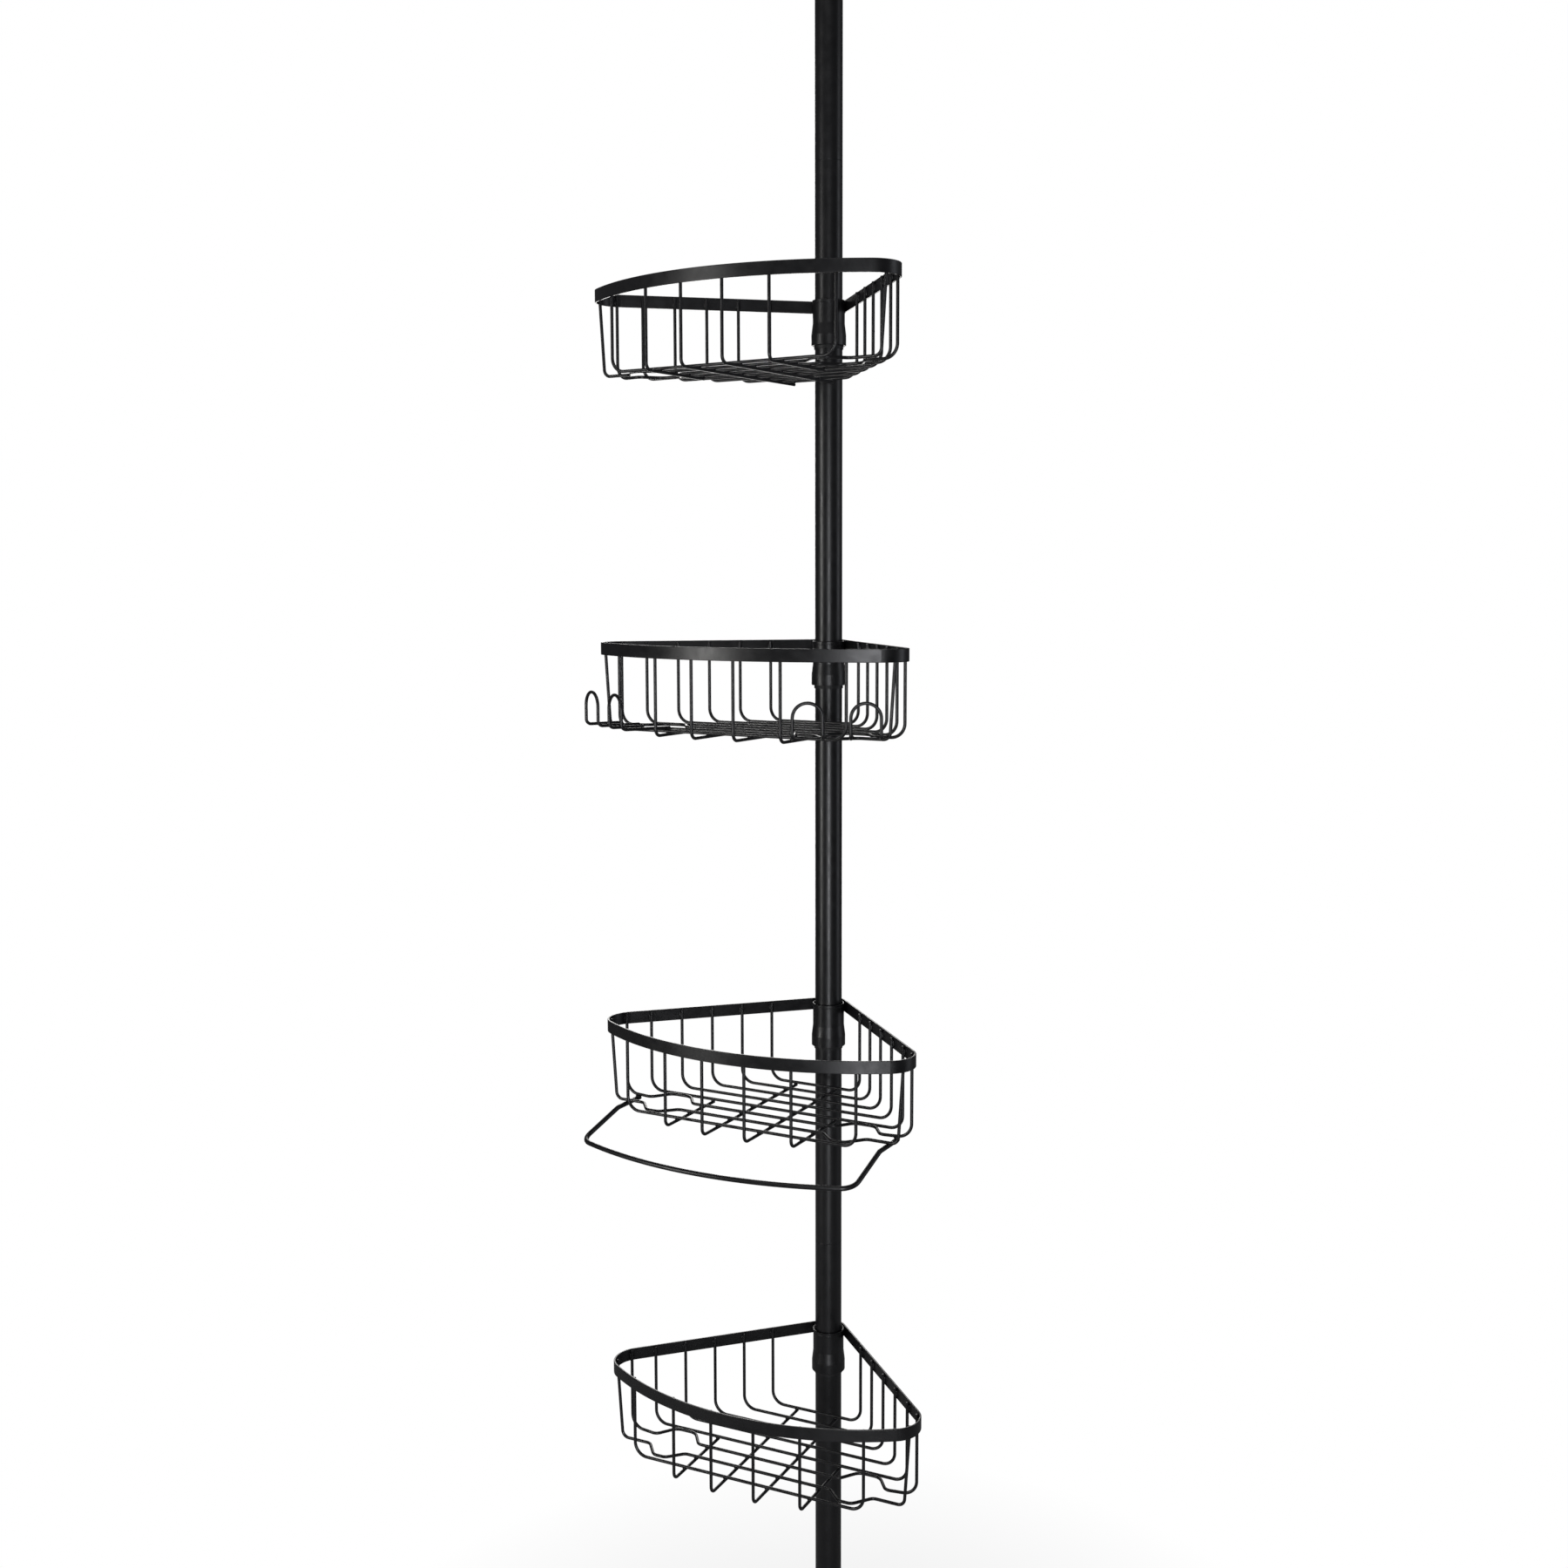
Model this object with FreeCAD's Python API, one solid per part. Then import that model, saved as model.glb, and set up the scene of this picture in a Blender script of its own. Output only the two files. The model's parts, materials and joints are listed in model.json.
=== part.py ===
import FreeCAD, Part
import math
import os

# Four-tier corner caddy for a shower, on a spring-loaded tension pole.
# Frame: +Z up along the pole, origin on the pole's axis at the underside of the floor foot.
# The room corner is behind the pole (+Y), and the baskets' curved fronts face -Y.
# All sizes are in millimetres.

V = FreeCAD.Vector
UP = V(0, 0, 1)

# ---- pole ----
POLE_D = 25.0
POLE_WALL = 0.8
TUBE_LENGTH = 500.0
TUBE_COUNT = 4
SPIGOT_RIB = 0.8            # rib of the spigot, seen as a line between two tubes
SPIGOT_RIB_RECESS = 0.35    # how far the rib stays inside the tubes' outer face
SPIGOT_REACH = 30.0         # length of the spigot inside each tube
SPIGOT_WALL = 1.6

# ---- floor foot and plug ----
FOOT_SOLE = 6.0             # rubber under the bottom tube
FOOT_D = 44.0
FOOT_RIM = 7.0              # height of the wide sole
FOOT_COLLAR_WALL = 3.0
FOOT_HEIGHT = 34.0
PLUG_REACH = 18.0
PLUG_WALL = 1.8
PLUG_END = 2.5

# ---- spring unit at the top ----
PLUNGER_D = 21.4
PLUNGER_WALL = 0.8
PLUNGER_SHOWN = 132.0       # plunger above the guide bush with the spring fully out
RUNNING_GAP = 0.1           # radial clearance of every running fit
BUSH_REACH = 24.0
BUSH_FLANGE = 2.0
BUSH_FLANGE_STEP = 0.8      # how far the bush's flange stands out from the tube
STOP_HEIGHT = 8.0
STOP_GAP = 0.2              # between the plunger's stop and the bush
SPRING_FREE = 110.0         # spring length with the plunger on its stop
SPRING_WIRE_D = 2.0
SPRING_TURNS = 14
SPRING_GAP = 0.6            # between the spring and the tube's wall
SEAT_HEIGHT = 14.0
SEAT_PIN_D = 3.0
SEAT_PIN_HEAD = 0.6
CEILING_FOOT_D = 40.0
CEILING_FOOT_SOLE = 6.0
CEILING_FOOT_HEIGHT = 24.0

# ---- baskets ----
RIM_TOP = (1387.4, 1080.0, 739.8, 420.0)    # height of each basket's rim, top one first
BASKET_YAW = (-3.5, -1.1, 1.3, 3.3)         # turn of each basket about the pole, degrees
SIDE_ANGLE = 45.0           # each side wall's angle from straight ahead
SIDE_LENGTH = 216.0         # from the wall's start on the sleeve to the front corner
FRONT_BULGE = 58.3          # how far the curved front stands ahead of its corners
CORNER_R = 25.0
BAND_HEIGHT = 11.0
BAND_WALL = 1.8
BAND_EDGE_R = 0.5           # rounding of the band's long edges
WIRE_D = 2.8
BASKET_DEPTH = 74.3         # from the rim's top to the axis of the floor's cross wires
WIRE_TOP = 1.5              # from the rim's top down to the wires' upper ends
CROSS_COUNT = 8
CROSS_BACK = 27.0           # from the pole's axis forward to the last cross wire
CROSS_FRONT_MARGIN = 29.4   # from the rim's foremost point back to the first cross wire
CROSS_BEND_R = 12.0
FRONT_WIRE_PITCH = 41.4
FRONT_BEND_R = 6.0
WELD_TAIL = 1.5             # how far a wire runs on past the wire it is welded to

# ---- bottle loops, made by bending the second and third cross wires ----
LOOP_U = 92.5               # sideways place of each loop's middle
LOOP_FRONT_HALF = 19.5      # half of the loop's width where it leaves the front wire
LOOP_FRONT_CROWN = 6.0      # half of the flat crown of the front wire's bend
LOOP_FRONT_BULGE = 13.5
LOOP_FRONT_R = 8.0
LOOP_BACK_HALF = 22.5
LOOP_BACK_CROWN = 10.0
LOOP_BACK_SHIFT = 1.0
LOOP_BACK_R = 11.0
LOOP_FOOT_R = 7.0
LOOP_WIRE_GAP = 0.5         # between the back bend and the next cross wire
LOOP_END_SHIFT = 3.0        # how far back the front loop wire sits beside its loops
LOOP_END_LEAN = 5.0         # how far its legs lean in from rim to floor
LOOP_END_R = 6.5            # bend between such a leg and the floor
LOOP_BACK_END_SHIFT = 4.0   # how far back the back loop wire's legs stand from its floor run

# ---- sleeve on the pole, and the split collet in it ----
SLEEVE_WALL = 1.0
SLEEVE_HEIGHT = 40.0
SLEEVE_TOP_DROP = 1.6       # from the rim's top down to the sleeve's upper edge
SLEEVE_LIP = 0.4            # how far the rolled lip stands out; the rim band lies against it
SLEEVE_LIP_HEIGHT = 2.2
SLEEVE_CONE_TOP = 22.0      # where the sleeve starts to widen, below the rim's top
SLEEVE_CONE_END = 32.0
SLEEVE_FLARE = 1.2
SLEEVE_CHAMFER = 0.3
COLLET_WALL = 0.9
COLLET_TOP_DROP = 4.0
COLLET_SKIRT = 3.0          # length of collet that shows below the sleeve
COLLET_SKIRT_STEP = 0.7     # skirt's wall, thinner than the wedge above it
COLLET_SPLIT = 0.8

# ---- hooks on the front of one basket ----
HOOK_BASKET = 2
HOOK_WIRE_D = 2.8
HOOK_WIDTH = 24.5           # between the axes of a hook's two legs
HOOK_TOP_DROP = 42.5        # from the rim's top down to the axis of the arch's crown
HOOK_BEND_R = 4.5
HOOK_STANDOFF = 16.2        # from the rim's outer face out to the middle of a pair
HOOK_PLACE = 0.633          # place of a pair, as a share of the way from the front's middle to its end
HOOK_FACING = 0.718         # place on the curved front that faces the way a pair faces, as such a share
HOOK_SPACING = 46.9
HOOK_TAIL = 4.0

# ---- towel bar under another basket ----
BAR_BASKET = 3
BAR_D = 4.2
BAR_HALF_WIDTH = 132.5
BAR_REACH = 41.1            # from the rim's foremost point to the bar's middle
BAR_DROP = 15.2
BAR_SWEEP = 21.0            # half of the angle that the curved front turns through
BAR_FRONT_R = 330.0
BAR_CORNER_R = 15.0
BAR_BEND_R = 12.0
BAR_BEND_V = -160.0
BAR_TAIL = 4.0
BAR_TAIL_INSET = 1.0        # from the end of the cross wires' flat stretch in to the bar's ends

# ---- worked out from the sizes above ----
pole_r = POLE_D / 2
pole_bore_r = pole_r - POLE_WALL
wire_r = WIRE_D / 2
hook_r = HOOK_WIRE_D / 2
bar_r = BAR_D / 2
collet_r = pole_r + RUNNING_GAP
wedge_r = collet_r + COLLET_WALL
sleeve_bore_r = wedge_r + RUNNING_GAP
sleeve_r = sleeve_bore_r + SLEEVE_WALL
band_back_r = sleeve_r + SLEEVE_LIP + BAND_WALL
wire_inset = BAND_WALL + wire_r
side = math.radians(SIDE_ANGLE)
corner_u = band_back_r * math.cos(side) + SIDE_LENGTH * math.sin(side)
corner_v = band_back_r * math.sin(side) - SIDE_LENGTH * math.cos(side)
front_r = (corner_u ** 2 + FRONT_BULGE ** 2) / (2 * FRONT_BULGE)
front_v = corner_v - FRONT_BULGE
front_centre_v = front_v + front_r
cross_pitch = (-front_v - CROSS_FRONT_MARGIN - CROSS_BACK) / (CROSS_COUNT - 1)
cross_v = [front_v + CROSS_FRONT_MARGIN + i * cross_pitch for i in range(CROSS_COUNT)]
front_wire_z = -BASKET_DEPTH - WIRE_D


# ---- general shapes ----

def rod(points, radii, radius):
    """A round rod along straight runs, with an arc at each inner point."""
    edges = []
    start = points[0]
    for i, bend_r in enumerate(radii, 1):
        before = (points[i] - points[i - 1]).normalize()
        after = (points[i + 1] - points[i]).normalize()
        half_turn = before.getAngle(after) / 2
        cut = bend_r * math.tan(half_turn)
        arc_start = points[i] - before * cut
        arc_end = points[i] + after * cut
        inward = (after - before).normalize()
        arc_mid = points[i] + inward * (bend_r / math.cos(half_turn) - bend_r)
        if (arc_start - start).Length > 1e-6:
            edges.append(Part.makeLine(start, arc_start))
        edges.append(Part.Arc(arc_start, arc_mid, arc_end).toShape())
        start = arc_end
    if (points[-1] - start).Length > 1e-6:
        edges.append(Part.makeLine(start, points[-1]))
    path = Part.Wire(edges)
    first_way = (points[1] - points[0]).normalize()
    section = Part.Wire(Part.makeCircle(radius, points[0], first_way))
    return path.makePipeShell([section], True, False)


def turned(profile):
    """A solid of revolution about Z from (radius, height) corners."""
    corners = [V(r, 0, z) for r, z in profile]
    face = Part.Face(Part.makePolygon(corners + [corners[0]]))
    return face.revolve(V(0, 0, 0), UP, 360)


def tube(outer_r, wall, low, high):
    outer = Part.makeCylinder(outer_r, high - low, V(0, 0, low))
    return outer.cut(Part.makeCylinder(outer_r - wall, high - low, V(0, 0, low)))


def mirrored(shape):
    return shape.mirror(V(0, 0, 0), V(1, 0, 0))


def save(name, solids):
    shape = solids[0] if len(solids) == 1 else Part.makeCompound(solids)
    shape.exportStep("parts/" + name + ".step")


# ---- basket outline, seen from above, with its rim top at height 0 ----

def corner_centre(inset):
    """Middle of the rounded front corner of the outline moved inwards by inset."""
    wall = band_back_r - CORNER_R
    n = V(math.cos(side), math.sin(side), 0)
    d = V(math.sin(side), -math.cos(side), 0)
    base = n * wall - V(0, front_centre_v, 0)
    reach = front_r - CORNER_R
    along = -base.dot(d) + math.sqrt(base.dot(d) ** 2 - base.dot(base) + reach ** 2)
    return n * wall + d * along, CORNER_R - inset


def outline(inset):
    """Closed outline of the basket, moved inwards by inset."""
    centre, corner_r = corner_centre(inset)
    n = V(math.cos(side), math.sin(side), 0)
    wall_start = n * (band_back_r - inset)
    wall_end = centre + n * corner_r
    to_corner = (centre - V(0, front_centre_v, 0)).normalize()
    front_end = centre + to_corner * corner_r
    corner_mid = centre + (n + to_corner).normalize() * corner_r
    front_mid = V(0, front_v + inset, 0)
    back_mid = V(0, band_back_r - inset, 0)

    def left(p):
        return V(-p.x, p.y, p.z)

    return Part.Wire([
        Part.makeLine(wall_start, wall_end),
        Part.Arc(wall_end, corner_mid, front_end).toShape(),
        Part.Arc(front_end, front_mid, left(front_end)).toShape(),
        Part.Arc(left(front_end), left(corner_mid), left(wall_end)).toShape(),
        Part.makeLine(left(wall_end), left(wall_start)),
        Part.Arc(left(wall_start), back_mid, wall_start).toShape(),
    ])


def half_width(v, inset):
    """Half of the outline's width at depth v, moved inwards by inset."""
    centre, corner_r = corner_centre(inset)
    to_corner = (centre - V(0, front_centre_v, 0)).normalize()
    if v >= centre.y + corner_r * math.sin(side):
        return ((band_back_r - inset) - v * math.sin(side)) / math.cos(side)
    if v > centre.y + corner_r * to_corner.y:
        return centre.x + math.sqrt(corner_r ** 2 - (v - centre.y) ** 2)
    return math.sqrt((front_r - inset) ** 2 - (v - front_centre_v) ** 2)


def front_at(u, inset):
    """Depth of the curved front at sideways place u, moved inwards by inset."""
    return front_centre_v - math.sqrt((front_r - inset) ** 2 - u ** 2)


# ---- basket pieces, about the pole's axis with the rim top at height 0 ----

def rim_band():
    ring = Part.Face(outline(0)).cut(Part.Face(outline(BAND_WALL)))
    band = ring.extrude(V(0, 0, -BAND_HEIGHT))
    long_edges = [e for e in band.Edges if e.BoundBox.ZLength < BAND_EDGE_R]
    return band.makeFillet(min(BAND_EDGE_R, BAND_WALL / 3), long_edges)


def loop_front_bends():
    """Floor bends of the front loop wire, right half, from the wall inwards."""
    v = cross_v[1]
    crown_v = v - LOOP_FRONT_BULGE
    return [(LOOP_U + LOOP_FRONT_HALF, v + LOOP_END_SHIFT),
            (LOOP_U + LOOP_FRONT_CROWN, crown_v),
            (LOOP_U - LOOP_FRONT_CROWN, crown_v),
            (LOOP_U - LOOP_FRONT_HALF, v)]


def loop_back_bends():
    """Floor bends of the back loop wire, right half, from the wall inwards."""
    v = cross_v[2]
    crown_v = cross_v[3] - WIRE_D - LOOP_WIRE_GAP
    middle = LOOP_U + LOOP_BACK_SHIFT
    return [(middle + LOOP_BACK_HALF, v),
            (middle + LOOP_BACK_CROWN, crown_v),
            (middle - LOOP_BACK_CROWN, crown_v),
            (middle - LOOP_BACK_HALF, v)]


def cross_wire(v_end, floor_bends, bend_radii, lean, leg_r):
    """A U of wire across the basket. The floor's bends are given for the right half."""
    end_u = half_width(v_end, wire_inset)
    right = [V(end_u, v_end, -WIRE_TOP), V(end_u - lean, v_end, -BASKET_DEPTH)]
    right += [V(u, v, -BASKET_DEPTH) for u, v in floor_bends]
    radii = [leg_r] + bend_radii
    left = [V(-p.x, p.y, p.z) for p in reversed(right)]
    return rod(right + left, radii + radii[::-1], wire_r)


def plain_cross_wires():
    plain = cross_v[:1] + cross_v[3:]
    return [cross_wire(v, [], [], 0, CROSS_BEND_R) for v in plain]


def loop_wires():
    """The two cross wires that bend apart round the bottle loops."""
    front_radii = [LOOP_FOOT_R, LOOP_FRONT_R, LOOP_FRONT_R, LOOP_FOOT_R]
    back_radii = [LOOP_FOOT_R, LOOP_BACK_R, LOOP_BACK_R, LOOP_FOOT_R]
    front_end = cross_v[1] + LOOP_END_SHIFT
    back_end = cross_v[2] + LOOP_BACK_END_SHIFT
    return [cross_wire(front_end, loop_front_bends(), front_radii, LOOP_END_LEAN, LOOP_END_R),
            cross_wire(back_end, loop_back_bends(), back_radii, 0, CROSS_BEND_R)]


def front_wires():
    """Wires from the front of the rim down and back under the floor."""
    wires = []
    for place, last in ((0.5, -1), (1.5, 3)):
        u = place * FRONT_WIRE_PITCH
        v = front_at(u, wire_inset)
        points = [V(u, v, -WIRE_TOP), V(u, v, front_wire_z), V(u, cross_v[last] + WELD_TAIL, front_wire_z)]
        wire = rod(points, [FRONT_BEND_R], wire_r)
        wires += [wire, mirrored(wire)]
    return wires


def sleeve():
    """Steel sleeve, straight above and wider below, open at both ends."""
    top = -SLEEVE_TOP_DROP
    low = top - SLEEVE_HEIGHT
    wide_r = sleeve_r + SLEEVE_FLARE
    return turned([
        (sleeve_bore_r, top),
        (sleeve_r + SLEEVE_LIP, top),
        (sleeve_r + SLEEVE_LIP, top - SLEEVE_LIP_HEIGHT),
        (sleeve_r, top - SLEEVE_LIP_HEIGHT - SLEEVE_LIP),
        (sleeve_r, -SLEEVE_CONE_TOP),
        (wide_r, -SLEEVE_CONE_END),
        (wide_r, low + SLEEVE_CHAMFER),
        (wide_r - SLEEVE_CHAMFER, low),
        (sleeve_bore_r + SLEEVE_FLARE, low),
        (sleeve_bore_r + SLEEVE_FLARE, -SLEEVE_CONE_END),
        (sleeve_bore_r, -SLEEVE_CONE_TOP),
    ])


def collet_half():
    """Front half of the plastic collet that the sleeve wedges onto."""
    sleeve_low = -SLEEVE_TOP_DROP - SLEEVE_HEIGHT
    wide_r = wedge_r + SLEEVE_FLARE
    skirt_r = collet_r + COLLET_SKIRT_STEP
    ring = turned([
        (collet_r, -COLLET_TOP_DROP),
        (wedge_r, -COLLET_TOP_DROP),
        (wedge_r, -SLEEVE_CONE_TOP - RUNNING_GAP),
        (wide_r, -SLEEVE_CONE_END - RUNNING_GAP),
        (wide_r, sleeve_low),
        (skirt_r, sleeve_low),
        (skirt_r, sleeve_low - COLLET_SKIRT),
        (collet_r, sleeve_low - COLLET_SKIRT),
    ])
    room = 2 * wide_r
    corner = V(-room, -room - COLLET_SPLIT / 2, -2 * BASKET_DEPTH)
    keep = Part.makeBox(2 * room, room, 2 * BASKET_DEPTH, corner)
    return ring.common(keep)


def run_to(foot, way, corners):
    """How far a level run from foot goes until it meets the wire through these floor corners."""
    runs = []
    for (u0, v0), (u1, v1) in zip(corners, corners[1:]):
        wire_way = V(u1 - u0, v1 - v0, 0)
        to_wire = V(u0, v0, 0) - V(foot.x, foot.y, 0)
        cross = way.cross(wire_way).z
        if 0 <= to_wire.cross(way).z / cross <= 1:
            runs.append(to_wire.cross(wire_way).z / cross)
    return min(runs)


def hooks():
    """Two pairs of open wire arches that stand in front of the rim."""
    front_sweep = math.asin(corner_u / front_r)
    pair = front_sweep * HOOK_PLACE
    turn = front_sweep * HOOK_FACING
    out = front_r + HOOK_STANDOFF
    pair_middle = V(out * math.sin(pair), front_centre_v - out * math.cos(pair), 0)
    along = V(math.cos(turn), math.sin(turn), 0)
    inward = V(-math.sin(turn), math.cos(turn), 0)
    run_z = -BASKET_DEPTH + wire_r + hook_r
    crown_z = -HOOK_TOP_DROP
    arch_r = HOOK_WIDTH / 2
    # The inner hook's feet run back to the first cross wire. The outer one's run to the
    # front loop wire, and stop at it, so that the loop stays open.
    second_v = cross_v[1] + LOOP_END_SHIFT
    first_wire = [(0, cross_v[0]), (half_width(cross_v[0], wire_inset), cross_v[0])]
    loop_wire = [(half_width(second_v, wire_inset), second_v)] + loop_front_bends() + [(0, cross_v[1])]
    wires = []
    for offset, welded_to, tail in ((-0.5, first_wire, HOOK_TAIL), (0.5, loop_wire, WELD_TAIL)):
        middle = pair_middle + along * (offset * HOOK_SPACING)
        feet = [middle - along * arch_r, middle + along * arch_r]
        ends = [foot + inward * (run_to(foot, inward, welded_to) + tail) for foot in feet]
        points = [ends[0] + UP * run_z, feet[0] + UP * run_z, feet[0] + UP * crown_z,
                  feet[1] + UP * crown_z, feet[1] + UP * run_z, ends[1] + UP * run_z]
        wire = rod(points, [HOOK_BEND_R, arch_r, arch_r, HOOK_BEND_R], hook_r)
        wires += [wire, mirrored(wire)]
    return wires


def towel_bar():
    """Thick rod bent round the front of the basket, a little below its floor."""
    sweep = math.radians(BAR_SWEEP)
    high = -BASKET_DEPTH - wire_r - bar_r
    low = high - BAR_DROP
    peak_v = front_v - BAR_REACH - BAR_FRONT_R * (1 / math.cos(sweep) - 1)
    corner = V(BAR_HALF_WIDTH, peak_v + BAR_HALF_WIDTH * math.tan(sweep), low)
    leg_v = cross_v[2] + LOOP_BACK_END_SHIFT
    tail_u = half_width(leg_v, wire_inset) - CROSS_BEND_R - BAR_TAIL_INSET
    bend = V(tail_u, BAR_BEND_V, high)
    tail = V(tail_u, cross_v[2] + BAR_TAIL, high)
    right = [tail, bend, corner]
    left = [V(-p.x, p.y, p.z) for p in reversed(right)]
    radii = [BAR_BEND_R, BAR_CORNER_R, BAR_FRONT_R, BAR_CORNER_R, BAR_BEND_R]
    return rod(right + [V(0, peak_v, low)] + left, radii, bar_r)


def place(shape, yaw, height):
    """Turns a piece about the pole and lifts it to its basket's height."""
    moved = shape.copy()
    moved.rotate(V(0, 0, 0), UP, yaw)
    moved.translate(V(0, 0, height))
    return moved


def save_baskets():
    front_half = collet_half()
    back_half = front_half.mirror(V(0, 0, 0), V(0, 1, 0))
    pieces = {
        "rim_band": [rim_band()],
        "sleeve": [sleeve()],
        "cross_wires": plain_cross_wires(),
        "loop_wires": loop_wires(),
        "front_wires": front_wires(),
        "collet_front": [front_half],
        "collet_back": [back_half],
    }
    extras = {HOOK_BASKET: ("hooks", hooks()), BAR_BASKET: ("towel_bar", [towel_bar()])}
    for number, (height, yaw) in enumerate(zip(RIM_TOP, BASKET_YAW), 1):
        for name, solids in pieces.items():
            save("%s_%d" % (name, number), [place(s, yaw, height) for s in solids])
        if number in extras:
            name, solids = extras[number]
            save(name, [place(s, yaw, height) for s in solids])


# ---- pole pieces ----

def cup(low, sole, inner_r, outer_r, rim_height, collar_r, height):
    """A rubber foot that stands on its wide end, with a socket for the tube above."""
    top = low + height
    return turned([
        (0, low),
        (outer_r - 1.5, low),
        (outer_r, low + 1.5),
        (outer_r, low + rim_height - 1.5),
        (outer_r - 1.5, low + rim_height),
        (collar_r + 2.0, low + rim_height + 1.0),
        (collar_r, low + rim_height + 4.0),
        (collar_r, top - 1.0),
        (collar_r - 1.0, top),
        (inner_r, top),
        (inner_r, low + sole),
        (0, low + sole),
    ])


def end_plug(tube_end, bore_r):
    """A cup-shaped plug pushed up into the lower end of a tube."""
    return turned([
        (0, tube_end),
        (bore_r, tube_end),
        (bore_r, tube_end + PLUG_REACH),
        (bore_r - PLUG_WALL, tube_end + PLUG_REACH),
        (bore_r - PLUG_WALL, tube_end + PLUG_END),
        (0, tube_end + PLUG_END),
    ])


def joint_spigot(rib_low):
    """Moulded sleeve that holds two tubes in line, with a thin rib between them."""
    rib_high = rib_low + SPIGOT_RIB
    rib_r = pole_r - SPIGOT_RIB_RECESS
    bore_r = pole_bore_r - SPIGOT_WALL
    return turned([
        (bore_r, rib_low - SPIGOT_REACH),
        (pole_bore_r, rib_low - SPIGOT_REACH),
        (pole_bore_r, rib_low),
        (rib_r, rib_low),
        (rib_r, rib_high),
        (pole_bore_r, rib_high),
        (pole_bore_r, rib_high + SPIGOT_REACH),
        (bore_r, rib_high + SPIGOT_REACH),
    ])


def helical_spring(low, high, mean_r):
    """Open helix, with its end turns just inside the given heights."""
    spring_wire_r = SPRING_WIRE_D / 2
    height = high - low - 2 * spring_wire_r
    helix = Part.makeHelix(height / SPRING_TURNS, height, mean_r)
    start = helix.Edges[0].valueAt(helix.Edges[0].FirstParameter)
    way = helix.Edges[0].tangentAt(helix.Edges[0].FirstParameter)
    section = Part.Wire(Part.makeCircle(spring_wire_r, start, way))
    coil = Part.Wire(helix.Edges).makePipeShell([section], True, True)
    coil.translate(V(0, 0, low + spring_wire_r))
    return coil


def save_pole():
    save("floor_foot", [cup(0, FOOT_SOLE, pole_r, FOOT_D / 2, FOOT_RIM,
                            pole_r + FOOT_COLLAR_WALL, FOOT_HEIGHT)])
    save("floor_plug", [end_plug(FOOT_SOLE, pole_bore_r)])
    pitch = TUBE_LENGTH + SPIGOT_RIB
    tubes = []
    for i in range(TUBE_COUNT):
        low = FOOT_SOLE + i * pitch
        tubes.append(tube(pole_r, POLE_WALL, low, low + TUBE_LENGTH))
    for i in range(TUBE_COUNT - 1):
        save("joint_spigot_%d" % (i + 1), [joint_spigot(FOOT_SOLE + (i + 1) * pitch - SPIGOT_RIB)])

    # spring unit in the top tube
    tube_top = FOOT_SOLE + (TUBE_COUNT - 1) * pitch + TUBE_LENGTH
    plunger_r = PLUNGER_D / 2
    bush_bore_r = plunger_r + RUNNING_GAP
    flange_r = pole_r + BUSH_FLANGE_STEP
    save("guide_bush", [turned([
        (bush_bore_r, tube_top - BUSH_REACH),
        (pole_bore_r, tube_top - BUSH_REACH),
        (pole_bore_r, tube_top),
        (flange_r, tube_top),
        (flange_r, tube_top + BUSH_FLANGE),
        (bush_bore_r, tube_top + BUSH_FLANGE),
    ])])
    stop_top = tube_top - BUSH_REACH - STOP_GAP
    stop_low = stop_top - STOP_HEIGHT
    stop_r = pole_bore_r - RUNNING_GAP
    stop_step = STOP_HEIGHT / 2
    save("plunger_stop", [turned([
        (0, stop_low),
        (stop_r, stop_low),
        (stop_r, stop_top),
        (plunger_r, stop_top),
        (plunger_r, stop_top - stop_step),
        (0, stop_top - stop_step),
    ])])
    plunger_low = stop_top - stop_step
    plunger_top = tube_top + BUSH_FLANGE + PLUNGER_SHOWN
    save("plunger_tube", [tube(plunger_r, PLUNGER_WALL, plunger_low, plunger_top)])
    upside_down = V(0, 0, plunger_top)
    plug = end_plug(plunger_top, plunger_r - PLUNGER_WALL).mirror(upside_down, UP)
    save("plunger_plug", [plug])
    foot = cup(plunger_top - CEILING_FOOT_SOLE, CEILING_FOOT_SOLE, plunger_r, CEILING_FOOT_D / 2,
               FOOT_RIM, plunger_r + FOOT_COLLAR_WALL, CEILING_FOOT_HEIGHT)
    save("ceiling_foot", [foot.mirror(upside_down, UP)])

    seat_top = stop_low - SPRING_FREE
    seat_low = seat_top - SEAT_HEIGHT
    pin_z = seat_low + SEAT_HEIGHT / 2
    pin_length = POLE_D + 2 * SEAT_PIN_HEAD
    pin = Part.makeCylinder(SEAT_PIN_D / 2, pin_length, V(-pin_length / 2, 0, pin_z), V(1, 0, 0))
    seat = Part.makeCylinder(pole_bore_r, SEAT_HEIGHT, V(0, 0, seat_low)).cut(pin)
    save("spring_seat", [seat])
    save("seat_pin", [pin])
    mean_r = pole_bore_r - SPRING_GAP - SPRING_WIRE_D / 2
    save("pole_spring", [helical_spring(seat_top, stop_low, mean_r)])
    tubes[-1] = tubes[-1].cut(pin)
    for i, piece in enumerate(tubes, 1):
        save("tube_%d" % i, [piece])


os.makedirs("parts", exist_ok=True)
save_pole()
save_baskets()
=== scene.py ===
import json
import math

import bmesh
import bpy
from mathutils import Matrix, Vector, noise


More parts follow.
